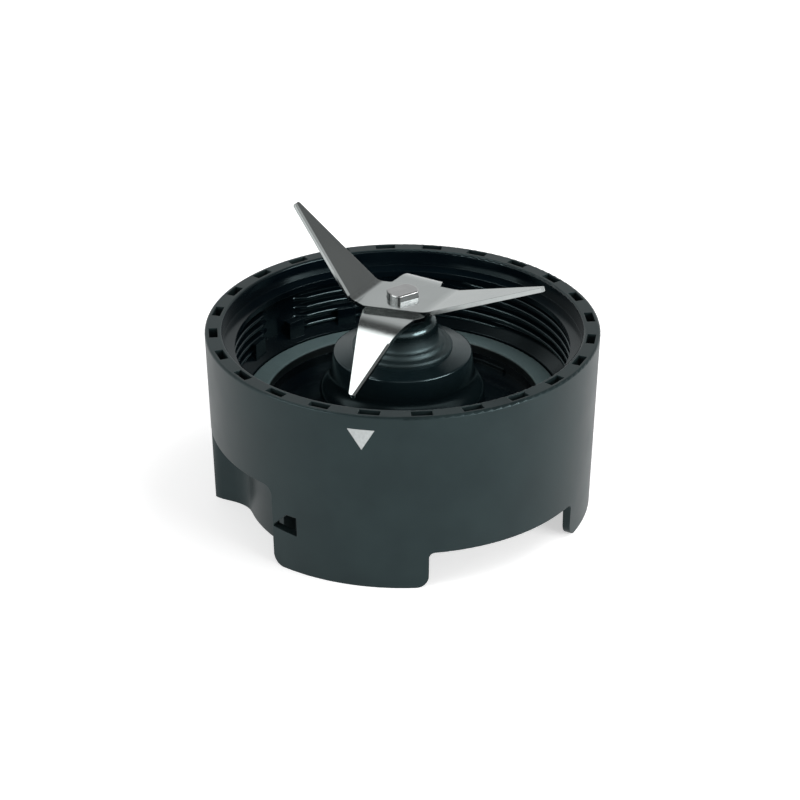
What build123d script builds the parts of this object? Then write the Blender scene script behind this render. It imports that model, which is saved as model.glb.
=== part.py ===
"""Blade assembly of a kitchen blender: a threaded base collar with a spinning four-armed cutter.

Millimetres, +Z up. The origin is on the spin axis, in the plane that the feet stand on.
Angles are degrees about +Z, counted from +X. Everything on the base repeats after half a turn.
"""
import os
from math import cos, degrees, radians, sin, sqrt, tan

from build123d import *

# Collar: outer wall and rim
collar_height = 48.0
rim_radius = 50.0
wall_draft = 1.4
rim_width = 4.4
rim_edge_round = 0.6
pocket_count = 24
pocket_length = 5.2
pocket_width = 2.2
pocket_depth = 8.0
pocket_phase = 5.45

# Collar: mouth, jug thread bore and floor
lip_drop = 4.8
lip_width = 3.1
lip_thickness = 1.6
lip_slope = 0.4
thread_depth = 1.5
thread_bottom = 31.0
seat_slope_height = 2.6
seal_setback = 2.1
seal_width = 5.4
seal_thickness = 2.5
seal_clearance = 0.1
seal_edge_round = 0.5
floor_top = 23.0
floor_thickness = 2.5
seat_step = 2.5
cup_wall = 2.3
cup_corner_rise = 2.7
channel_top = 29.0
skirt_wall = 1.9

# Collar: stop blocks at the end of the jug thread
stop_angles = (111.0, 132.2, 152.9)
stop_width = 5.0
stop_reach = 2.4
stop_height = 34.0

# Collar: feet, notches and bayonet recesses, in order round half a turn
latch_foot_start = 229.0
latch_foot_span = 48.6
notch_span = 52.4
plain_foot_span = 32.0
notch_height = 9.9
notch_round = 1.5
foot_round = 3.2
recess_height = 22.0
recess_depth = 8.2
recess_round = 2.5
recess_curve_span = 16.0
recess_curve_middle = 0.42
recess_curve_lead = 1.5
recess_wall_lead = 1.5
recess_roof = 2.0
channel_depth = 12.1
channel_lead = 6.5
channel_stop_gap = 9.5
channel_stop_span = 2.4

# Collar: latch window in each latch foot, measured from the foot's edge
window_inset = 0.4
window_point = 4.2
window_length = 7.2
window_low = 10.4
window_high = 15.7
window_lip = 1.2

# Hub housing
hub_flange_radius = 21.2
hub_flange_height = 6.5
hub_flare_height = 6.2
hub_waist_radius = 18.3
hub_shoulder_radius = 17.6
hub_shoulder_rise = 18.0
hub_shoulder_round = 0.5
hub_crown_rise = 1.0
hub_wall = 2.4
hub_crown_thickness = 3.4
spigot_radius = 18.0
spigot_length = 7.0
spigot_clearance = 0.1
bearing_tube_wall = 2.6
bearing_tube_drop = 6.0
hub_groove_width = 2.0
hub_groove_depth = 1.5

# Ring nut under the floor
ring_nut_wall = 5.0
ring_nut_height = 5.0
ring_nut_slots = 6
ring_nut_slot_width = 5.0
ring_nut_slot_depth = 2.0

# Bearing cap
cap_flange_radius = 12.7
cap_flange_height = 1.0
cap_step_radius = 10.5
cap_step_height = 1.2
cap_base_radius = 9.3
cap_top_radius = 8.7
cap_height = 8.6
cap_edge_round = 2.0
cap_wall = 2.0
cap_tongue_radius = 11.0
cap_tongue_wall = 1.4
cap_tongue_depth = 1.5
cap_tongue_clearance = 0.05
cap_shaft_gap = 0.3

# Shaft, bushes and seal
shaft_radius = 4.0
running_clearance = 0.04
bush_wall = 1.96
bush_length = 10.0
bush_flange_wall = 2.0
bush_flange_thickness = 1.5
seal_ring_wall = 1.5
seal_ring_height = 3.5
seal_lip_thickness = 0.8
shaft_flange_radius = 6.5
shaft_flange_thickness = 2.1
shaft_flange_gap = 1.0
stud_rise = 1.7
stud_edge_round = 0.3
stud_flat = 2.95
stud_flat_angle = 305.0
stud_clearance = 0.05
axial_float = 0.2
thrust_washer_thickness = 1.0
thrust_washer_radius = 7.5
ring_thickness = 1.0
ring_groove_depth = 0.5
ring_radius = 5.8
ring_opening = 3.0
ring_clearance = 0.03

# Drive coupling and its nut
coupling_gap = 0.5
coupling_radius = 13.0
coupling_disc = 4.0
coupling_dog_height = 5.5
coupling_dogs = 6
coupling_dog_span = 28.0
coupling_dog_wall = 4.5
tail_radius = 3.0
tail_flat = 2.4
tail_clearance = 0.05
washer_radius = 6.0
washer_thickness = 1.0
nut_across_flats = 10.0
nut_height = 4.0

# Blades: one blank, stamped twice and bent differently
blade_thickness = 1.2
blade_axis_angle = 149.5
blade_tip_gap = 4.8
blade_root = 8.3
blade_corner_along = 5.7
blade_corner_out = 9.6
blade_tip_lead = 7.3
blade_tip_width = 1.7
blade_tip_round = 0.6
blade_bevel = 0.45

# Blades: each arm's bend beyond the root, its angle and inside radius, and at the root the distances
# of the cutting edge and the trailing edge from the arm's axis
steep_bend_offset = 1.46
steep_bend_angle = 52.6
steep_bend_radius = 2.7
steep_lead = 8.5
steep_trail = 5.2
shallow_bend_offset = 1.3
shallow_bend_angle = 18.0
shallow_bend_radius = 7.0
shallow_lead = 9.9
shallow_trail = 5.9
front_bend_offset = 7.5
front_bend_angle = -24.4
front_bend_radius = 18.8
front_lead = 8.1
front_trail = 6.3
back_bend_offset = 7.2
back_bend_angle = -38.0
back_bend_radius = 8.0
back_lead = 7.8
back_trail = 5.6

# Places worked out from the sizes above
foot_radius = rim_radius - wall_draft
rim_inner_radius = rim_radius - rim_width
pocket_circle_radius = rim_radius - rim_width / 2
lip_top = collar_height - lip_drop
lip_radius = rim_inner_radius - lip_width
thread_root_radius = lip_radius + thread_depth
seal_outer_radius = lip_radius - seal_setback
seal_inner_radius = seal_outer_radius - seal_width
seat_radius = seal_outer_radius + seal_clearance
seat_height = floor_top + seat_step
floor_bottom = floor_top - floor_thickness
cup_radius = seat_radius + cup_wall
skirt_inner_radius = foot_radius - skirt_wall
recess_radius = foot_radius - recess_depth
channel_radius = foot_radius - channel_depth
recess_start = latch_foot_start - (180.0 - latch_foot_span - notch_span - plain_foot_span)
notch_start = latch_foot_start + latch_foot_span
channel_start = latch_foot_start - channel_lead
channel_end = notch_start - channel_stop_gap
spigot_hole_radius = spigot_radius + spigot_clearance
hub_shoulder_height = floor_top + hub_shoulder_rise
hub_top = hub_shoulder_height + hub_crown_rise
hub_groove_radius = (spigot_hole_radius + hub_flange_radius) / 2
bush_radius = shaft_radius + running_clearance + bush_wall
bearing_tube_bottom = floor_top - bearing_tube_drop
seal_pocket_radius = bush_radius + seal_ring_wall
seal_pocket_bottom = hub_top - seal_ring_height
hub_crown_bottom = hub_top - hub_crown_thickness
cap_top = hub_top + cap_height
shaft_flange_bottom = cap_top + shaft_flange_gap
blade_seat = shaft_flange_bottom + shaft_flange_thickness
lower_blade_top = blade_seat + blade_thickness
upper_blade_top = lower_blade_top + blade_thickness
shaft_top = upper_blade_top + stud_rise
bush_flange_bottom = bearing_tube_bottom - bush_flange_thickness
thrust_washer_top = bush_flange_bottom - axial_float
ring_top = thrust_washer_top - thrust_washer_thickness
ring_bottom = ring_top - ring_thickness
coupling_top = ring_bottom - coupling_gap
coupling_floor = coupling_top - coupling_disc
shaft_bottom = coupling_floor - coupling_dog_height
blade_length = lip_radius - blade_tip_gap

# Cutters reach past what they cut by these amounts
cut_margin = 0.1
cut_reach = 5.0
far_out = rim_radius + cut_reach
below_feet = -cut_reach


def polar(radius, angle):
    return (radius * cos(radians(angle)), radius * sin(radians(angle)))


def half_turn_pair(shape):
    return shape + Rot(0, 0, 180) * shape


def turned(*corners):
    """A solid of revolution about Z from its (radius, height) corners."""
    outline = Polyline(*corners, close=True)
    return revolve(Plane.XZ * make_face(outline), Axis.Z)


def ring(inner, outer, low, high):
    return turned((inner, low), (outer, low), (outer, high), (inner, high))


def flatted_disc(radius, flat, angle):
    """A round with two parallel flats, as the section of a keyed shaft."""
    return Rot(0, 0, angle) * (Circle(radius) & Rectangle(2 * flat, 4 * radius))


def prism(section, low, high):
    return extrude(Pos(0, 0, low) * section, amount=high - low)


# Collar

def wall_radius(height):
    return foot_radius + wall_draft * height / collar_height


def collar_shell():
    shell = turned(
        (spigot_hole_radius, floor_bottom),
        (cup_radius - 2 * cup_corner_rise, floor_bottom),
        (cup_radius, floor_bottom + cup_corner_rise),
        (cup_radius, channel_top),
        (skirt_inner_radius, channel_top),
        (skirt_inner_radius, 0.0),
        (foot_radius, 0.0),
        (rim_radius, collar_height),
        (rim_inner_radius, collar_height),
        (rim_inner_radius, lip_top + lip_slope),
        (lip_radius, lip_top),
        (lip_radius, lip_top - lip_thickness),
        (thread_root_radius, lip_top - lip_thickness),
        (thread_root_radius, thread_bottom),
        (seat_radius, thread_bottom - seat_slope_height),
        (seat_radius, seat_height),
        (seal_inner_radius, seat_height),
        (seal_inner_radius, floor_top),
        (spigot_hole_radius, floor_top),
    )
    rim_edges = shell.edges().filter_by(GeomType.CIRCLE).group_by(Axis.Z)[-1]
    return fillet(rim_edges, rim_edge_round)


def sector_cutter(start, span, height, corner_round):
    """A wedge that cuts the skirt from below, with its two upper corners rounded."""
    section = Polyline(
        (cup_radius, below_feet),
        (far_out, below_feet),
        (far_out, height),
        (cup_radius, height),
        close=True,
    )
    wedge = revolve(Plane.XZ * make_face(section), Axis.Z, span)
    corners = wedge.edges().filter_by(GeomType.LINE).group_by(Axis.Z)[-1]
    return Rot(0, 0, start) * fillet(corners, corner_round)


def s_curve(start, outer, inner):
    """The scalloped end of a recess: leaves the outer circle and runs onto the inner one."""
    middle = start + recess_curve_middle * recess_curve_span
    end = start + recess_curve_span
    return Spline(
        polar(outer, start),
        polar((outer + inner) / 2, middle),
        polar(inner, end),
        tangents=(polar(1, start + 90), polar(1, end + 90)),
    )


def arc(radius, start, end):
    return CenterArc((0, 0), radius, start, end - start)


def radial_line(angle, first, last):
    return Line(polar(first, angle), polar(last, angle))


def bayonet_block():
    """The walls round one recess and its lug channel, still filled in."""
    start = recess_start - recess_curve_lead - recess_wall_lead
    inner = recess_radius - skirt_wall
    channel_inner = channel_radius - skirt_wall
    step = channel_start - degrees(skirt_wall / recess_radius)
    end = channel_end + channel_stop_span
    outline = make_face([
        s_curve(start, skirt_inner_radius, inner),
        arc(inner, start + recess_curve_span, step),
        radial_line(step, inner, channel_inner),
        arc(channel_inner, step, end),
        radial_line(end, channel_inner, far_out),
        arc(far_out, end, start),
        radial_line(start, far_out, skirt_inner_radius),
    ])
    outer_form = turned((0, 0), (foot_radius, 0), (wall_radius(channel_top), channel_top), (0, channel_top))
    return prism(outline, 0.0, recess_height + recess_roof) & outer_form


def bayonet_space():
    """The open recess and the deeper lug channel behind the latch foot."""
    start = recess_start - recess_curve_lead
    outer = wall_radius(recess_height) + cut_margin
    outline = make_face([
        s_curve(start, outer, recess_radius),
        arc(recess_radius, start + recess_curve_span, channel_start),
        radial_line(channel_start, recess_radius, channel_radius),
        arc(channel_radius, channel_start, channel_end),
        radial_line(channel_end, channel_radius, skirt_inner_radius),
        arc(skirt_inner_radius, channel_end, latch_foot_start),
        radial_line(latch_foot_start, skirt_inner_radius, far_out),
        arc(far_out, latch_foot_start, start),
        radial_line(start, far_out, outer),
    ])
    space = prism(outline, below_feet, recess_height)
    foot_edge = polar((skirt_inner_radius + far_out) / 2, latch_foot_start)
    corner = space.edges().filter_by(GeomType.LINE).sort_by_distance((*foot_edge, recess_height))[0]
    return fillet(corner, recess_round)


def latch_window():
    """Five-sided opening that points at the recess."""
    outline = make_face(Polyline(
        (window_inset, window_low + window_lip),
        (window_inset + window_point, window_high),
        (window_inset + window_length, window_high),
        (window_inset + window_length, window_low),
        (window_inset, window_low + window_lip / 2),
        close=True,
    ))
    middle = latch_foot_start + degrees(window_length / 2 / foot_radius)
    edge_offset = -foot_radius * sin(radians(middle - latch_foot_start))
    face = Plane((0, 0, 0), x_dir=(*polar(1, middle + 90), 0), z_dir=(*polar(1, middle), 0))
    window = face * (Pos(edge_offset, 0, skirt_inner_radius - skirt_wall) * outline)
    return extrude(window, amount=far_out - skirt_inner_radius)


def stop_block(angle):
    block = Box(
        thread_depth + stop_reach, stop_width, stop_height - thread_bottom + seat_slope_height,
        align=(Align.MIN, Align.CENTER, Align.MIN),
    )
    place = (thread_root_radius - stop_reach, 0, thread_bottom - seat_slope_height)
    return Rot(0, 0, angle) * (Pos(*place) * block)


def foot_corner(angle, side):
    """What rounds off a foot's lower corner. Side is 1 where the foot runs on from the angle, else -1."""
    reach = far_out - cup_radius
    corner = Box(
        reach, foot_round + cut_margin, foot_round - below_feet, align=(Align.MIN, Align.MIN, Align.MIN)
    )
    bar = Cylinder(foot_round, reach, align=(Align.CENTER, Align.CENTER, Align.MIN))
    cutter = Pos(cup_radius, -cut_margin, below_feet) * corner
    cutter -= Plane((cup_radius, foot_round, foot_round), z_dir=(1, 0, 0)) * bar
    if side < 0:
        cutter = mirror(cutter, Plane.XZ)
    return Rot(0, 0, angle) * cutter


def make_collar():
    collar = collar_shell()
    collar -= half_turn_pair(sector_cutter(notch_start, notch_span, notch_height, notch_round))
    collar += half_turn_pair(bayonet_block())
    collar -= half_turn_pair(bayonet_space())
    collar -= half_turn_pair(foot_corner(latch_foot_start, 1))
    collar -= half_turn_pair(foot_corner(notch_start, -1))
    collar -= half_turn_pair(foot_corner(notch_start + notch_span, 1))
    collar -= half_turn_pair(latch_window())
    pocket = Box(pocket_width, pocket_length, pocket_depth, align=(Align.CENTER, Align.CENTER, Align.MAX))
    places = PolarLocations(pocket_circle_radius, pocket_count, pocket_phase)
    collar -= [Pos(0, 0, collar_height) * place * pocket for place in places]
    for angle in stop_angles:
        collar += stop_block(angle)
    return collar


def make_jug_seal():
    seal = ring(seal_inner_radius, seal_outer_radius, seat_height, seat_height + seal_thickness)
    top_edges = seal.edges().group_by(Axis.Z)[-1]
    return fillet(top_edges, seal_edge_round)


# Hub

def make_hub_housing():
    flange_top = floor_top + hub_flange_height
    waist = flange_top + hub_flare_height
    spigot_bottom = floor_top - spigot_length
    inner = spigot_radius - hub_wall
    lower = Polyline(
        (hub_shoulder_radius, hub_shoulder_height),
        (cap_flange_radius, hub_top),
        (seal_pocket_radius, hub_top),
        (seal_pocket_radius, seal_pocket_bottom),
        (bush_radius, seal_pocket_bottom),
        (bush_radius, bearing_tube_bottom),
        (bush_radius + bearing_tube_wall, bearing_tube_bottom),
        (bush_radius + bearing_tube_wall, hub_crown_bottom),
        (hub_shoulder_radius - hub_wall, hub_crown_bottom),
        (inner, spigot_bottom),
        (spigot_radius, spigot_bottom),
        (spigot_radius, floor_top),
        (hub_flange_radius, floor_top),
        (hub_flange_radius, flange_top),
    )
    flare = Spline(
        (hub_flange_radius, flange_top), (hub_waist_radius, waist), tangents=((0, 1), (-0.1, 1))
    )
    side = Line((hub_waist_radius, waist), (hub_shoulder_radius, hub_shoulder_height))
    hub = revolve(Plane.XZ * make_face([lower, flare, side]), Axis.Z)
    circles = hub.edges().filter_by(GeomType.CIRCLE)
    shoulder = circles.sort_by_distance((hub_shoulder_radius, 0, hub_shoulder_height))[0]
    hub = fillet(shoulder, hub_shoulder_round)
    hub -= ring(
        cap_tongue_radius - cap_tongue_wall - cap_tongue_clearance,
        cap_tongue_radius + cap_tongue_clearance,
        hub_top - cap_tongue_depth - cap_tongue_clearance,
        hub_top,
    )
    hub -= ring(
        hub_groove_radius - hub_groove_width / 2,
        hub_groove_radius + hub_groove_width / 2,
        floor_top,
        floor_top + hub_groove_depth,
    )
    return hub


def make_hub_seal():
    return Pos(0, 0, floor_top + hub_groove_depth / 2) * Torus(hub_groove_radius, hub_groove_depth / 2)


def make_hub_ring_nut():
    outer = spigot_hole_radius + ring_nut_wall
    nut = ring(spigot_radius, outer, floor_bottom - ring_nut_height, floor_bottom)
    slot = Box(2 * ring_nut_slot_depth, ring_nut_slot_width, 3 * ring_nut_height)
    for place in PolarLocations(outer, ring_nut_slots):
        nut -= Pos(0, 0, floor_bottom - ring_nut_height) * place * slot
    return nut


def make_bearing_cap():
    step = hub_top + cap_flange_height
    base = step + cap_step_height
    cap = turned(
        (seal_pocket_radius, hub_top),
        (cap_flange_radius, hub_top),
        (cap_flange_radius, step),
        (cap_step_radius, step),
        (cap_step_radius, base),
        (cap_base_radius, base),
        (cap_top_radius, cap_top),
        (shaft_radius + cap_shaft_gap, cap_top),
        (shaft_radius + cap_shaft_gap, cap_top - cap_wall),
        (cap_top_radius - cap_wall, cap_top - cap_wall),
    )
    outer_edge = cap.edges().filter_by(GeomType.CIRCLE).sort_by_distance((cap_top_radius, 0, cap_top))[0]
    cap = fillet(outer_edge, cap_edge_round)
    tongue_inner = cap_tongue_radius - cap_tongue_wall
    return cap + ring(tongue_inner, cap_tongue_radius, hub_top - cap_tongue_depth, hub_top)


def make_shaft_seal():
    bore = shaft_radius + running_clearance
    return turned(
        (bore, hub_top - seal_lip_thickness),
        (bore, hub_top),
        (seal_pocket_radius, hub_top),
        (seal_pocket_radius, seal_pocket_bottom),
        (seal_pocket_radius - seal_ring_wall, seal_pocket_bottom),
        (seal_pocket_radius - seal_ring_wall, hub_top - seal_lip_thickness),
    )


def make_upper_bush():
    bore = shaft_radius + running_clearance
    return ring(bore, bush_radius, seal_pocket_bottom - bush_length, seal_pocket_bottom)


def make_lower_bush():
    bore = shaft_radius + running_clearance
    bush = ring(bore, bush_radius, bearing_tube_bottom, bearing_tube_bottom + bush_length)
    return bush + ring(bore, bush_radius + bush_flange_wall, bush_flange_bottom, bearing_tube_bottom)


# Rotor

def make_drive_shaft():
    shaft = turned(
        (0, coupling_top),
        (shaft_radius, coupling_top),
        (shaft_radius, ring_bottom),
        (shaft_radius - ring_groove_depth, ring_bottom),
        (shaft_radius - ring_groove_depth, ring_top),
        (shaft_radius, ring_top),
        (shaft_radius, shaft_flange_bottom),
        (shaft_flange_radius, shaft_flange_bottom),
        (shaft_flange_radius, blade_seat),
        (0, blade_seat),
    )
    stud = prism(flatted_disc(shaft_radius, stud_flat, stud_flat_angle), blade_seat, shaft_top)
    stud = fillet(stud.edges().group_by(Axis.Z)[-1], stud_edge_round)
    keyed_tail = prism(flatted_disc(tail_radius, tail_flat, 0), coupling_floor, coupling_top)
    threaded_tail = prism(Circle(tail_radius), shaft_bottom, coupling_floor)
    return shaft + stud + keyed_tail + threaded_tail


def make_thrust_washer():
    return ring(shaft_radius + running_clearance, thrust_washer_radius, ring_top, thrust_washer_top)


def make_retaining_ring():
    clip = ring(shaft_radius - ring_groove_depth + ring_clearance, ring_radius, ring_bottom, ring_top)
    towards_x = (Align.MIN, Align.CENTER, Align.CENTER)
    opening = Box(2 * ring_radius, ring_opening, 3 * ring_thickness, align=towards_x)
    return clip - Pos(0, 0, ring_bottom) * opening


def make_drive_coupling():
    bore = flatted_disc(tail_radius + tail_clearance, tail_flat + tail_clearance, 0)
    coupling = prism(Circle(coupling_radius) - bore, coupling_floor, coupling_top)
    dog_inner = coupling_radius - coupling_dog_wall
    section = Polyline(
        (dog_inner, shaft_bottom),
        (coupling_radius, shaft_bottom),
        (coupling_radius, coupling_floor),
        (dog_inner, coupling_floor),
        close=True,
    )
    dog = revolve(Plane.XZ * make_face(section), Axis.Z, coupling_dog_span)
    pitch = 360 / coupling_dogs
    for index in range(coupling_dogs):
        coupling += Rot(0, 0, index * pitch + (pitch - coupling_dog_span) / 2) * dog
    return coupling


def make_coupling_washer():
    bore = tail_radius + tail_clearance
    return ring(bore, washer_radius, coupling_floor - washer_thickness, coupling_floor)


def make_coupling_nut():
    top = coupling_floor - washer_thickness
    section = RegularPolygon(nut_across_flats / sqrt(3), 6) - Circle(tail_radius)
    return prism(section, top - nut_height, top)


# Blades, made with the first arm along +X and turned into place

def edge_at(along, root_distance, tip_distance):
    """How far a straight edge of the flat blank lies from its centre line."""
    share = (along - blade_root) / (blade_length - blade_root)
    return root_distance + share * (tip_distance - root_distance)


def arm_edges(along, lead, trail):
    """The cutting edge's and the trailing edge's distances from the arm's axis."""
    return edge_at(along, lead, blade_tip_lead), edge_at(along, trail, blade_tip_width - blade_tip_lead)


def sheet_section(place, slope, lead, trail):
    """A cut across the sheet, with its top at this place, that faces along the slope."""
    across = Plane(place, x_dir=(0, 1, 0), z_dir=(cos(slope), 0, sin(slope)))
    section = Rectangle(lead + trail, blade_thickness, align=(Align.CENTER, Align.MAX))
    return across * (Pos((lead - trail) / 2, 0) * section)


def blade_arm(top, offset, angle, radius, lead, trail):
    """The tapering bend and the straight arm beyond it, along +X, and where the bend begins."""
    vertex = blade_root + offset
    slope = radians(angle)
    side = 1 if angle > 0 else -1
    top_radius = radius if angle > 0 else radius + blade_thickness
    setback = top_radius * tan(abs(slope) / 2)
    bend = Plane.XZ * CenterArc((vertex - setback, top + side * top_radius), top_radius, -90 * side, angle)
    first = sheet_section(bend @ 0, 0.0, *arm_edges(vertex - setback, lead, trail))
    last = sheet_section(bend @ 1, slope, *arm_edges(vertex + setback, lead, trail))
    elbow = sweep([first, last], path=bend, multisection=True)

    length = blade_length - vertex
    tip = length - blade_tip_round
    tip_side = blade_tip_lead - blade_tip_width
    arm_lead, arm_trail = arm_edges(vertex + setback, lead, trail)
    outline = make_face([
        Polyline((tip, blade_tip_lead), (setback, arm_lead), (setback, -arm_trail), (tip, tip_side)),
        ThreePointArc((tip, tip_side), (length, (blade_tip_lead + tip_side) / 2), (tip, blade_tip_lead)),
    ])
    arm = extrude(outline, amount=-blade_thickness)
    long_edges = arm.edges().filter_by(GeomType.LINE).group_by(Axis.Z)[-1].sort_by(SortBy.LENGTH)[-2:]
    arm = chamfer(long_edges.sort_by(Axis.Y)[-1], blade_bevel)
    plane = Plane((vertex, 0, top), x_dir=(cos(slope), 0, sin(slope)), z_dir=(-sin(slope), 0, cos(slope)))
    return elbow + plane * arm, vertex - setback


def make_blade(top, first_arm, second_arm, axis_angle):
    """A plate with two arms. An arm is its bend's offset, angle and radius, its lead and its trail."""
    first, first_end = blade_arm(top, *first_arm)
    second, second_end = blade_arm(top, *second_arm)
    first_lead, first_trail = arm_edges(first_end, *first_arm[-2:])
    second_lead, second_trail = arm_edges(second_end, *second_arm[-2:])
    plate = make_face(Polyline(
        (first_end, first_lead),
        (blade_root, first_arm[-2]),
        (blade_corner_along, blade_corner_out),
        (-blade_root, second_arm[-1]),
        (-second_end, second_trail),
        (-second_end, -second_lead),
        (-blade_root, -second_arm[-2]),
        (-blade_corner_along, -blade_corner_out),
        (blade_root, -first_arm[-1]),
        (first_end, -first_trail),
        close=True,
    ))
    hole_angle = stud_flat_angle - axis_angle
    hole = flatted_disc(shaft_radius + stud_clearance, stud_flat + stud_clearance, hole_angle)
    blade = prism(plate - hole, top - blade_thickness, top)
    blade += first
    blade += Rot(0, 0, 180) * second
    return Rot(0, 0, axis_angle) * blade


parts = {
    "collar": make_collar(),
    "jug_seal": make_jug_seal(),
    "hub_housing": make_hub_housing(),
    "hub_seal": make_hub_seal(),
    "hub_ring_nut": make_hub_ring_nut(),
    "bearing_cap": make_bearing_cap(),
    "shaft_seal": make_shaft_seal(),
    "upper_bush": make_upper_bush(),
    "lower_bush": make_lower_bush(),
    "drive_shaft": make_drive_shaft(),
    "thrust_washer": make_thrust_washer(),
    "retaining_ring": make_retaining_ring(),
    "drive_coupling": make_drive_coupling(),
    "coupling_washer": make_coupling_washer(),
    "coupling_nut": make_coupling_nut(),
    "lower_blade": make_blade(
        lower_blade_top,
        (front_bend_offset, front_bend_angle, front_bend_radius, front_lead, front_trail),
        (back_bend_offset, back_bend_angle, back_bend_radius, back_lead, back_trail),
        blade_axis_angle + 90,
    ),
    "upper_blade": make_blade(
        upper_blade_top,
        (steep_bend_offset, steep_bend_angle, steep_bend_radius, steep_lead, steep_trail),
        (shallow_bend_offset, shallow_bend_angle, shallow_bend_radius, shallow_lead, shallow_trail),
        blade_axis_angle,
    ),
}

os.makedirs("parts", exist_ok=True)
for name, shape in parts.items():
    export_step(shape, f"parts/{name}.step")
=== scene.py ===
"""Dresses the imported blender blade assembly: finishes, jug thread, pointer mark, studio and camera.

Metres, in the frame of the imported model. Angles are degrees about +Z, counted from +X.
"""
from math import cos, radians, sin

import bmesh
import bpy
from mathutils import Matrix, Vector


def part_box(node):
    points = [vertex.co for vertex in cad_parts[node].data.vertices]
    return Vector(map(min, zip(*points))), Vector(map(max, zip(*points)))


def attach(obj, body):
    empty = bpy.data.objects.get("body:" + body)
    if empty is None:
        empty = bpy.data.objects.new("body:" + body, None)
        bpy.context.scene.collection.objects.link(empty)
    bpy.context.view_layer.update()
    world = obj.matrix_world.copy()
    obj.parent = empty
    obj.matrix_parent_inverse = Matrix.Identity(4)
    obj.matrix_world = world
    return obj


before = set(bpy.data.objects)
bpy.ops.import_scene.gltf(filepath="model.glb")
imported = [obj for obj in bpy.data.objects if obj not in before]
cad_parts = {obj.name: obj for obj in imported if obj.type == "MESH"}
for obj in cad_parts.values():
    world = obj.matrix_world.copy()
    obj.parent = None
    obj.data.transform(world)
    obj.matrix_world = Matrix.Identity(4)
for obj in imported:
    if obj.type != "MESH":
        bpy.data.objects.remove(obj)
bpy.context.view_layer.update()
scene = bpy.context.scene

# Sizes of the collar that the added pieces follow
foot_radius = 0.0486
rim_radius = 0.0500
rim_inner_radius = 0.0456
collar_height = 0.0480
thread_root_radius = 0.0440
thread_crest_radius = 0.0425

# Jug thread: two starts that rise with the angle, broken off beside the stop blocks
thread_starts = 2
thread_pitch = 0.0026
thread_height_at_zero = 0.0346
thread_low = 0.0301
thread_high = 0.0408
ridge_root_width = 0.0017
ridge_crest_width = 0.0008
ridge_sink = 0.0002
ridge_fade = 5.0
ridge_step = 2.0
ridge_edge_round = 0.00038
ridge_edge_segments = 2
ridge_edge_angle = 25.0
ridge_gaps = ((131.5, 144.0), (311.5, 324.0))

# Pointer mark printed on the wall
mark_left = 254.6
mark_right = 262.3
mark_tip = 258.6
mark_top = 0.0443
mark_bottom = 0.0388
mark_lift = 0.00004
mark_thickness = 0.00006
mark_steps = 10

# Points of an added mesh that are closer than this become one
weld_distance = 1e-8

# Where a finish changes: the collar at its mouth, inside which the colour is painted darker as shade; the
# seal at its top, below which its sides are painted darker as shade; the cap at its dome
satin_radii = (rim_inner_radius + 0.0001, rim_inner_radius + 0.0003)
satin_heights = (0.0220, 0.0226)
seal_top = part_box("jug_seal")[1][2]
seal_top_heights = (seal_top - 0.0005, seal_top - 0.0002)
dome_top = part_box("bearing_cap")[1][2]
dome_heights = (dome_top - 0.0050, dome_top - 0.0025)

# The two colours that each finish drifts between
collar_greys = ((0.009, 0.015, 0.016), (0.012, 0.020, 0.021))
# Painted shade: the inside of the mouth and its thread take these darker blacks
mouth_shade_blacks = ((0.001, 0.003, 0.005), (0.002, 0.005, 0.007))
hub_blacks = ((0.004, 0.009, 0.011), (0.006, 0.012, 0.014))
cap_blacks = ((0.003, 0.007, 0.008), (0.005, 0.010, 0.011))
coupling_blacks = ((0.012, 0.013, 0.014), (0.018, 0.019, 0.020))
# Painted shade: the seal's sides take the darker greys, its top the lighter ones
seal_shaded_greys = ((0.010, 0.016, 0.017), (0.015, 0.022, 0.023))
seal_top_greys = ((0.112, 0.166, 0.171), (0.124, 0.182, 0.187))
rubber_blacks = ((0.010, 0.010, 0.010), (0.016, 0.016, 0.016))
bronze_tints = ((0.50, 0.31, 0.14), (0.58, 0.38, 0.19))
shaft_tints = ((0.44, 0.45, 0.45), (0.50, 0.51, 0.51))
blade_tints = ((0.49, 0.525, 0.52), (0.52, 0.555, 0.55))
mark_tints = ((0.46, 0.49, 0.49), (0.53, 0.56, 0.56))

# Shine: refraction, and the cool cast that it has on the black plastics
plastic_shine = (0.70, 0.96, 1.0, 1.0)
plain_index = 1.5
collar_index = 1.44
hub_index = 1.7
cap_index = 2.0
thread_index = 1.8

# Roughness
mouth_roughness = 0.18
satin_roughness = 0.36
cap_roughness = 0.50
dome_roughness = 0.19
worn_roughness = (-0.03, 0.03)
hub_roughness = (0.17, 0.23)
thread_roughness = (0.14, 0.20)
coupling_roughness = (0.38, 0.50)
rubber_roughness = (0.42, 0.58)
blade_roughness = (0.11, 0.17)
bronze_roughness = (0.32, 0.44)
shaft_roughness = (0.12, 0.20)
mark_roughness = 0.5
floor_roughness = 0.9

# Noise that varies the finishes: scales for places in metres, detail, and the middle part that is used
collar_cloud_scale = 90.0
collar_grain_scale = 3200.0
gloss_cloud_scale = 140.0
gloss_smear_scale = 420.0
rubber_cloud_scale = 160.0
rubber_skin_scale = 2400.0
blade_cloud_scale = 70.0
brushing_scale = (25.0, 5200.0, 25.0)
turned_cloud_scale = 220.0
turned_ring_scale = 9000.0
mark_speckle_scale = 1500.0
plain_detail = 2.0
fine_detail = 3.0
smear_detail = 4.0
noise_middle = (0.3, 0.7)
tint_middle = (0.35, 0.65)

# Depths of the fine relief
collar_grain_depth = 0.000004
gloss_smear_depth = 0.0000004
rubber_skin_depth = 0.000012
brushing_depth = 0.0000003
turned_ring_depth = 0.0000004

# Rounds that soften edges in the shading
collar_edge_round = 0.0002
gloss_edge_round = 0.0003
hub_edge_round = 0.0005
cap_edge_round = 0.0018
metal_edge_round = 0.0001
edge_round_samples = 8

# Directions that the blades' brushing follows
upper_blade_angle = 149.5
lower_blade_angle = 239.5

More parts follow.
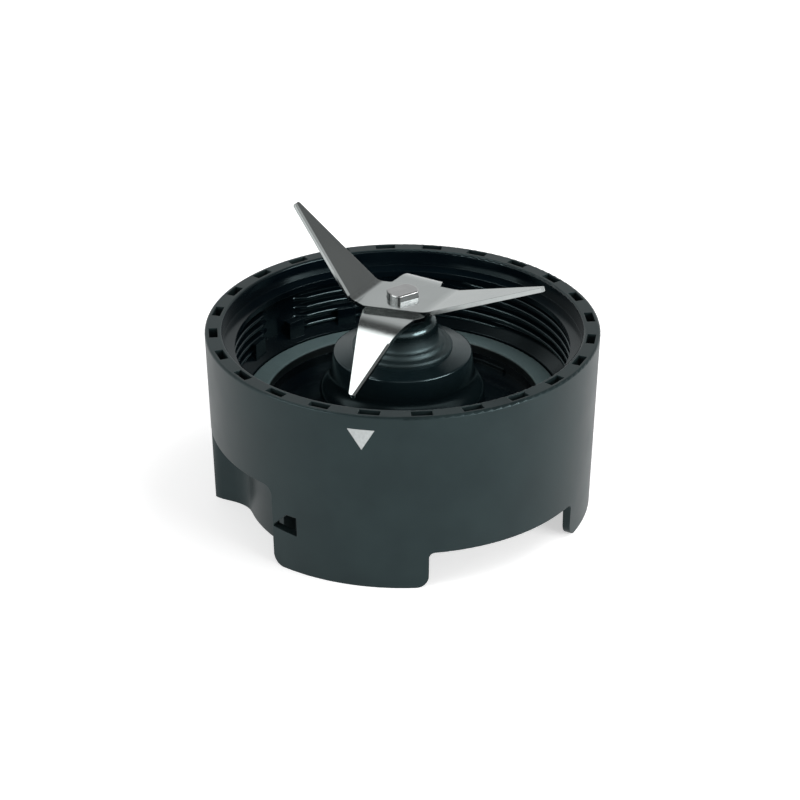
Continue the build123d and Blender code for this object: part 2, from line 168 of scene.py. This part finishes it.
# Camera, worked out from the photo
camera_place = (-0.000639, -0.60183, 0.34312)
camera_elevation = 27.744
camera_lens = 119.27
camera_sensor = 36.0
camera_near = 0.01

# Floor, as the camera sees it and as reflections see it
floor_size = 6.0
floor_grey = 0.80
floor_mirrored_grey = 0.45
floor_glow = 0.55
floor_mirrored_glow = 0.50

# World: its even light, and what reflections see of it by the height of the ray and by direction
white = (1.0, 1.0, 1.0, 1.0)
ambient_grey = 0.47
backdrop_greys = (
    (0.0, 0.85),
    (0.12, 0.74),
    (0.42, 0.66),
    (0.50, 0.59),
    (0.58, 0.32),
    (0.66, 0.09),
    (1.0, 0.06),
)
card_direction = (-0.31, 0.36, 0.88)
card_edge = (0.946, 1.0)
card_glow = 2.6
flag_direction = (0.887, 0.363, 0.285)
flag_edge = (0.80, 0.97)
flag_grey = 0.26
front_direction = (-0.59, -0.66, 0.465)
front_edge = (0.85, 0.97)
front_grey = 0.12

# Lamps: a low softbox on each side, and a fill from above that reflections don't show
side_lamp_place = (0.643, -0.407, 0.287)
side_lamp_size = (0.60, 0.15)
right_lamp_power = 4.2
left_lamp_power = 1.9
fill_place = (0.40, 0.05, 0.75)
fill_size = (0.5, 0.5)
fill_power = 2.6
look_at = Vector((0.0, 0.0, 0.04))


def polar(radius, angle):
    return (radius * cos(radians(angle)), radius * sin(radians(angle)))


def wall_radius(height):
    """Radius of the collar's drafted wall."""
    return foot_radius + (rim_radius - foot_radius) * height / collar_height


# Material building blocks

def new_material(name, constants):
    """A material with one Principled shader and these constant sockets."""
    material = bpy.data.materials.new(name)
    material.use_nodes = True
    shader = material.node_tree.nodes["Principled BSDF"]
    for socket, value in constants.items():
        shader.inputs[socket].default_value = value
    return material, material.node_tree, shader


def place_vector(tree, turn=0.0, scale=(1.0, 1.0, 1.0)):
    """Places on the object, turned about Z and stretched."""
    place = tree.nodes.new("ShaderNodeTexCoord")
    mapping = tree.nodes.new("ShaderNodeMapping")
    mapping.inputs["Rotation"].default_value = (0.0, 0.0, radians(turn))
    mapping.inputs["Scale"].default_value = scale
    tree.links.new(place.outputs["Object"], mapping.inputs["Vector"])
    return mapping.outputs["Vector"]


def noise(tree, vector, scale, detail=plain_detail):
    texture = tree.nodes.new("ShaderNodeTexNoise")
    texture.inputs["Scale"].default_value = scale
    texture.inputs["Detail"].default_value = detail
    tree.links.new(vector, texture.inputs["Vector"])
    return texture.outputs["Fac"]


def ranged(tree, value, from_range, to_range, course="LINEAR"):
    """The value, mapped from one range onto another."""
    node = tree.nodes.new("ShaderNodeMapRange")
    node.interpolation_type = course
    node.inputs["From Min"].default_value = from_range[0]
    node.inputs["From Max"].default_value = from_range[1]
    node.inputs["To Min"].default_value = to_range[0]
    node.inputs["To Max"].default_value = to_range[1]
    tree.links.new(value, node.inputs["Value"])
    return node.outputs["Result"]


def tinted(tree, value, colours):
    """A colour that goes from the first to the second as the value rises through its middle."""
    ramp = tree.nodes.new("ShaderNodeValToRGB")
    for element, position, colour in zip(ramp.color_ramp.elements, tint_middle, colours):
        element.position = position
        element.color = (*colour, 1.0)
    tree.links.new(value, ramp.inputs["Fac"])
    return ramp.outputs["Color"]


def combined(tree, operation, first, second):
    """Two values under one operation of a Math node."""
    node = tree.nodes.new("ShaderNodeMath")
    node.operation = operation
    tree.links.new(first, node.inputs[0])
    tree.links.new(second, node.inputs[1])
    return node.outputs["Value"]


def blended(tree, share, first, second):
    """The first colour, or the second where the share is one."""
    node = tree.nodes.new("ShaderNodeMix")
    node.data_type = "RGBA"
    tree.links.new(share, node.inputs["Factor"])
    # A Mix node's colours are its inputs 6 and 7 and its output 2
    tree.links.new(first, node.inputs[6])
    tree.links.new(second, node.inputs[7])
    return node.outputs[2]


def height_above_feet(tree):
    parts = tree.nodes.new("ShaderNodeSeparateXYZ")
    tree.links.new(place_vector(tree), parts.inputs["Vector"])
    return parts.outputs["Z"]


def axis_radius(tree):
    """Distance from the spin axis."""
    flat = place_vector(tree, scale=(1.0, 1.0, 0.0))
    length = tree.nodes.new("ShaderNodeVectorMath")
    length.operation = "LENGTH"
    tree.links.new(flat, length.inputs[0])
    return length.outputs["Value"]


def add_relief(tree, shader, height, depth, edge_round=0.0):
    """Fine relief on the surface, and softened edges where a round is given."""
    bump = tree.nodes.new("ShaderNodeBump")
    bump.inputs["Distance"].default_value = depth
    tree.links.new(height, bump.inputs["Height"])
    if edge_round:
        bevel = tree.nodes.new("ShaderNodeBevel")
        bevel.samples = edge_round_samples
        bevel.inputs["Radius"].default_value = edge_round
        tree.links.new(bevel.outputs["Normal"], bump.inputs["Normal"])
    tree.links.new(bump.outputs["Normal"], shader.inputs["Normal"])


# Finishes

def collar_finish():
    """Satin moulded black outside; polished inside the mouth, where the colour is painted a deeper black
    as shade.
    """
    constants = {"IOR": collar_index, "Specular Tint": plastic_shine}
    material, tree, shader = new_material("collar_plastic", constants)
    vector = place_vector(tree)
    cloud = noise(tree, vector, collar_cloud_scale)
    grain = noise(tree, vector, collar_grain_scale)
    outside = ranged(tree, axis_radius(tree), satin_radii, (0.0, 1.0))
    below = ranged(tree, height_above_feet(tree), satin_heights, (1.0, 0.0))
    satin = combined(tree, "MAXIMUM", outside, below)
    # Painted shade: inside the mouth the colour goes to darker blacks than the satin outside; the polish
    # there is the finish's own
    mouth_shade = tinted(tree, cloud, mouth_shade_blacks)
    grey = tinted(tree, cloud, collar_greys)
    tree.links.new(blended(tree, satin, mouth_shade, grey), shader.inputs["Base Color"])
    polish = ranged(tree, satin, (0.0, 1.0), (mouth_roughness, satin_roughness))
    wear = ranged(tree, cloud, noise_middle, worn_roughness)
    tree.links.new(combined(tree, "ADD", polish, wear), shader.inputs["Roughness"])
    add_relief(tree, shader, grain, collar_grain_depth, collar_edge_round)
    return material


def gloss_finish(name, colours, roughness, index=plain_index, edge_round=gloss_edge_round):
    """Moulded plastic with faint handling marks, polished or plain."""
    material, tree, shader = new_material(name, {"IOR": index, "Specular Tint": plastic_shine})
    vector = place_vector(tree)
    cloud = noise(tree, vector, gloss_cloud_scale)
    smear = noise(tree, vector, gloss_smear_scale, smear_detail)
    tree.links.new(tinted(tree, cloud, colours), shader.inputs["Base Color"])
    tree.links.new(ranged(tree, smear, noise_middle, roughness), shader.inputs["Roughness"])
    add_relief(tree, shader, smear, gloss_smear_depth, edge_round)
    return material


def cap_finish():
    """Satin moulded plastic with a polished dome."""
    constants = {"IOR": cap_index, "Specular Tint": plastic_shine}
    material, tree, shader = new_material("cap_plastic", constants)
    vector = place_vector(tree)
    cloud = noise(tree, vector, gloss_cloud_scale)
    smear = noise(tree, vector, gloss_smear_scale, smear_detail)
    tree.links.new(tinted(tree, cloud, cap_blacks), shader.inputs["Base Color"])
    polish = ranged(tree, height_above_feet(tree), dome_heights, (cap_roughness, dome_roughness))
    wear = ranged(tree, smear, noise_middle, worn_roughness)
    tree.links.new(combined(tree, "ADD", polish, wear), shader.inputs["Roughness"])
    add_relief(tree, shader, smear, gloss_smear_depth, cap_edge_round)
    return material


def rubber_finish(name, colours, top_colours=()):
    """Matte rubber with a fine, uneven skin; where top colours are given, the top face takes them and the
    sides keep the darker first colours as painted shade.
    """
    material, tree, shader = new_material(name, {"IOR": plain_index})
    vector = place_vector(tree)
    cloud = noise(tree, vector, rubber_cloud_scale, fine_detail)
    skin = noise(tree, vector, rubber_skin_scale)
    colour = tinted(tree, cloud, colours)
    if top_colours:
        # Painted shade: below its top face the rubber keeps the darker colours
        top = ranged(tree, height_above_feet(tree), seal_top_heights, (0.0, 1.0))
        colour = blended(tree, top, colour, tinted(tree, cloud, top_colours))
    tree.links.new(colour, shader.inputs["Base Color"])
    tree.links.new(ranged(tree, skin, noise_middle, rubber_roughness), shader.inputs["Roughness"])
    add_relief(tree, shader, skin, rubber_skin_depth)
    return material


def brushed_finish(name, angle):
    """Stainless sheet, finely brushed along the blade."""
    material, tree, shader = new_material(name, {"Metallic": 1.0})
    lines = noise(tree, place_vector(tree, -angle, brushing_scale), 1.0, fine_detail)
    cloud = noise(tree, place_vector(tree), blade_cloud_scale)
    tree.links.new(tinted(tree, cloud, blade_tints), shader.inputs["Base Color"])
    tree.links.new(ranged(tree, lines, noise_middle, blade_roughness), shader.inputs["Roughness"])
    add_relief(tree, shader, lines, brushing_depth, metal_edge_round)
    return material


def turned_finish(name, colours, roughness):
    """Turned metal, with fine rings about the spin axis."""
    material, tree, shader = new_material(name, {"Metallic": 1.0})
    texture = tree.nodes.new("ShaderNodeTexNoise")
    texture.noise_dimensions = "1D"
    texture.inputs["Scale"].default_value = turned_ring_scale
    tree.links.new(axis_radius(tree), texture.inputs["W"])
    rings = texture.outputs["Fac"]
    cloud = noise(tree, place_vector(tree), turned_cloud_scale)
    tree.links.new(tinted(tree, cloud, colours), shader.inputs["Base Color"])
    tree.links.new(ranged(tree, rings, noise_middle, roughness), shader.inputs["Roughness"])
    add_relief(tree, shader, rings, turned_ring_depth, metal_edge_round)
    return material


def mark_finish():
    """Pale print, a little thin in places."""
    material, tree, shader = new_material("mark_paint", {"Roughness": mark_roughness})
    speckle = noise(tree, place_vector(tree), mark_speckle_scale, fine_detail)
    tree.links.new(tinted(tree, speckle, mark_tints), shader.inputs["Base Color"])
    return material


def paint(piece, material):
    piece.data.materials.clear()
    piece.data.materials.append(material)


# Added pieces

def mesh_piece(name, mesh):
    bmesh.ops.remove_doubles(mesh, verts=mesh.verts, dist=weld_distance)
    bmesh.ops.recalc_face_normals(mesh, faces=mesh.faces)
    data = bpy.data.meshes.new(name)
    mesh.to_mesh(data)
    mesh.free()
    piece = bpy.data.objects.new(name, data)
    scene.collection.objects.link(piece)
    return piece


def ridge_share(angle):
    """How much of a ridge stands at this angle: none in a gap, all beyond the fade beside it."""
    share = 1.0
    for start, end in ridge_gaps:
        past_start = (angle - start) % 360.0
        past_end = (angle - end) % 360.0
        if past_end > past_start:
            share = 0.0
        share = min(share, past_end / ridge_fade, (360.0 - past_start) / ridge_fade)
    return share


def thread_ridge(mesh, start):
    """One start of the thread, swept up the bore from the seal to the lip."""
    lead = thread_starts * thread_pitch
    base = thread_height_at_zero + start * thread_pitch
    first = (thread_low - base) / lead * 360.0
    last = (thread_high - base) / lead * 360.0
    root = thread_root_radius + ridge_sink
    rings = []
    for index in range(int((last - first) / ridge_step) + 1):
        angle = first + index * ridge_step
        height = base + lead * angle / 360.0
        ends = min(angle - first, last - angle) / ridge_fade
        crest = root - max(0.0, min(ridge_share(angle), ends)) * (root - thread_crest_radius)
        section = (
            (root, -ridge_root_width / 2),
            (crest, -ridge_crest_width / 2),
            (crest, ridge_crest_width / 2),
            (root, ridge_root_width / 2),
        )
        rings.append([mesh.verts.new((*polar(radius, angle), height + rise)) for radius, rise in section])
    for lower, upper in zip(rings, rings[1:]):
        for near, far in ((0, 1), (1, 2), (2, 3), (3, 0)):
            mesh.faces.new((lower[near], lower[far], upper[far], upper[near]))


def make_thread():
    mesh = bmesh.new()
    for start in range(thread_starts):
        thread_ridge(mesh, start)
    thread = mesh_piece("jug_thread", mesh)
    edges = thread.modifiers.new("soft edges", "BEVEL")
    edges.width = ridge_edge_round
    edges.segments = ridge_edge_segments
    edges.limit_method = "ANGLE"
    edges.angle_limit = radians(ridge_edge_angle)
    return thread


def make_mark():
    """A thin printed triangle that lies on the drafted wall."""
    mesh = bmesh.new()
    rows = []
    for row in range(mark_steps + 1):
        down = row / mark_steps
        height = mark_top + down * (mark_bottom - mark_top)
        left = mark_left + down * (mark_tip - mark_left)
        right = mark_right + down * (mark_tip - mark_right)
        radius = wall_radius(height) + mark_lift
        angles = [left + step / mark_steps * (right - left) for step in range(mark_steps + 1)]
        rows.append([mesh.verts.new((*polar(radius, angle), height)) for angle in angles])
    for upper, lower in zip(rows, rows[1:]):
        for step in range(mark_steps):
            mesh.faces.new((upper[step], lower[step], lower[step + 1], upper[step + 1]))
    mark = mesh_piece("pointer_mark", mesh)
    body = mark.modifiers.new("thickness", "SOLIDIFY")
    body.thickness = mark_thickness
    return mark


# Floor, world, lamps and camera

def make_floor():
    """Pale floor that shows nearly white, keeps the object's shadow and is clear from below."""
    bpy.ops.mesh.primitive_plane_add(size=floor_size)
    floor = bpy.context.object
    floor.name = "floor"
    constants = {"Roughness": floor_roughness, "Specular IOR Level": 0.0, "Emission Color": white}
    material, tree, shader = new_material("floor", constants)
    path = tree.nodes.new("ShaderNodeLightPath")
    grey = ranged(tree, path.outputs["Is Glossy Ray"], (0.0, 1.0), (floor_grey, floor_mirrored_grey))
    tree.links.new(grey, shader.inputs["Base Color"])
    seen = ranged(tree, path.outputs["Is Camera Ray"], (0.0, 1.0), (0.0, floor_glow))
    mirrored = ranged(tree, path.outputs["Is Glossy Ray"], (0.0, 1.0), (0.0, floor_mirrored_glow))
    tree.links.new(combined(tree, "ADD", seen, mirrored), shader.inputs["Emission Strength"])
    side = tree.nodes.new("ShaderNodeNewGeometry")
    clear = tree.nodes.new("ShaderNodeBsdfTransparent")
    one_sided = tree.nodes.new("ShaderNodeMixShader")
    tree.links.new(side.outputs["Backfacing"], one_sided.inputs["Fac"])
    tree.links.new(shader.outputs["BSDF"], one_sided.inputs[1])
    tree.links.new(clear.outputs["BSDF"], one_sided.inputs[2])
    tree.links.new(one_sided.outputs["Shader"], tree.nodes["Material Output"].inputs["Surface"])
    paint(floor, material)


def facing(tree, direction, target):
    """How nearly a ray points at the target: one when it does."""
    node = tree.nodes.new("ShaderNodeVectorMath")
    node.operation = "DOT_PRODUCT"
    node.inputs[1].default_value = target
    tree.links.new(direction, node.inputs[0])
    return node.outputs["Value"]


def mirrored_studio(tree):
    """What reflections see: a pale backdrop, dark above, at a flag and in front, and a bright card."""
    direction = tree.nodes.new("ShaderNodeTexCoord").outputs["Generated"]
    flag = ranged(tree, facing(tree, direction, flag_direction), flag_edge, (1.0, flag_grey))
    front = ranged(tree, facing(tree, direction, front_direction), front_edge, (1.0, front_grey))
    towards_card = facing(tree, direction, card_direction)
    card = ranged(tree, towards_card, card_edge, (0.0, card_glow), "SMOOTHSTEP")
    height = tree.nodes.new("ShaderNodeSeparateXYZ")
    tree.links.new(direction, height.inputs["Vector"])
    backdrop = tree.nodes.new("ShaderNodeValToRGB")
    steps = backdrop.color_ramp.elements
    for index, (place, grey) in enumerate(backdrop_greys):
        step = steps[index] if index < len(steps) else steps.new(place)
        step.position = place
        step.color = (grey, grey, grey, 1.0)
    tree.links.new(height.outputs["Z"], backdrop.inputs["Fac"])
    flagged = combined(tree, "MULTIPLY", backdrop.outputs["Color"], flag)
    shaded = combined(tree, "MULTIPLY", flagged, front)
    return combined(tree, "ADD", shaded, card)


def make_world():
    """White to the camera, an even grey as light, and the mirrored studio in reflections."""
    world = bpy.data.worlds.new("studio")
    world.use_nodes = True
    scene.world = world
    tree = world.node_tree
    background = tree.nodes["Background"]
    background.inputs["Color"].default_value = white
    path = tree.nodes.new("ShaderNodeLightPath")
    in_gloss = tree.nodes.new("ShaderNodeMix")
    in_gloss.inputs["A"].default_value = ambient_grey
    tree.links.new(path.outputs["Is Glossy Ray"], in_gloss.inputs["Factor"])
    tree.links.new(mirrored_studio(tree), in_gloss.inputs["B"])
    through = combined(tree, "ADD", path.outputs["Is Camera Ray"], path.outputs["Is Transmission Ray"])
    in_view = tree.nodes.new("ShaderNodeMix")
    in_view.inputs["B"].default_value = 1.0
    tree.links.new(through, in_view.inputs["Factor"])
    tree.links.new(in_gloss.outputs["Result"], in_view.inputs["A"])
    tree.links.new(in_view.outputs["Result"], background.inputs["Strength"])


def softbox(name, place, size, power, in_mirrors=True):
    """A rectangular lamp that faces the object."""
    lamp = bpy.data.lights.new(name, "AREA")
    lamp.shape = "RECTANGLE"
    lamp.size, lamp.size_y = size
    lamp.energy = power
    holder = bpy.data.objects.new(name, lamp)
    holder.location = place
    holder.visible_glossy = in_mirrors
    holder.rotation_euler = (look_at - Vector(place)).to_track_quat("-Z", "Y").to_euler()
    scene.collection.objects.link(holder)
    return holder


def keep_off(lamp, nodes):
    """Shades these nodes from a lamp that they would mirror as a white glare."""
    shaded = bpy.data.collections.new(lamp.name + "_shaded")
    for node in nodes:
        shaded.objects.link(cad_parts[node])
    for entry in shaded.collection_objects:
        entry.light_linking.link_state = "EXCLUDE"
    lamp.light_linking.receiver_collection = shaded


def make_camera():
    data = bpy.data.cameras.new("camera")
    data.lens = camera_lens
    data.sensor_width = camera_sensor
    data.clip_start = camera_near
    camera = bpy.data.objects.new("camera", data)
    camera.location = camera_place
    camera.rotation_euler = (radians(90.0 - camera_elevation), 0.0, 0.0)
    scene.collection.objects.link(camera)
    scene.camera = camera


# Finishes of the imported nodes
hub_plastic = gloss_finish("hub_plastic", hub_blacks, hub_roughness, hub_index, hub_edge_round)
black_rubber = rubber_finish("black_rubber", rubber_blacks)
bronze = turned_finish("bronze", bronze_tints, bronze_roughness)
shaft_steel = turned_finish("shaft_steel", shaft_tints, shaft_roughness)
finishes = {
    "collar": collar_finish(),
    "jug_seal": rubber_finish("seal_rubber", seal_shaded_greys, seal_top_greys),
    "hub_housing": hub_plastic,
    "hub_seal": black_rubber,
    "hub_ring_nut": hub_plastic,
    "bearing_cap": cap_finish(),
    "shaft_seal": black_rubber,
    "upper_bush": bronze,
    "lower_bush": bronze,
    "drive_shaft": shaft_steel,
    "thrust_washer": shaft_steel,
    "retaining_ring": shaft_steel,
    "drive_coupling": gloss_finish("coupling_plastic", coupling_blacks, coupling_roughness),
    "coupling_washer": shaft_steel,
    "coupling_nut": shaft_steel,
    "lower_blade": brushed_finish("lower_blade_steel", lower_blade_angle),
    "upper_blade": brushed_finish("upper_blade_steel", upper_blade_angle),
}
for node, material in finishes.items():
    paint(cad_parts[node], material)

# Pieces that only the visual model has
# The thread takes the mouth's painted-shade blacks
thread_plastic = gloss_finish("thread_plastic", mouth_shade_blacks, thread_roughness, thread_index)
for piece, material, slot in (
    (make_thread(), thread_plastic, "collar_plastic"),
    (make_mark(), mark_finish(), "mark_paint"),
):
    paint(piece, material)
    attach(piece, "base")

make_floor()
make_world()
right_lamp = softbox("right_lamp", side_lamp_place, side_lamp_size, right_lamp_power)
keep_off(right_lamp, ("lower_blade", "upper_blade"))
softbox("left_lamp", (-side_lamp_place[0], *side_lamp_place[1:]), side_lamp_size, left_lamp_power)
softbox("fill", fill_place, fill_size, fill_power, in_mirrors=False)
make_camera()
scene.view_settings.view_transform = "Standard"
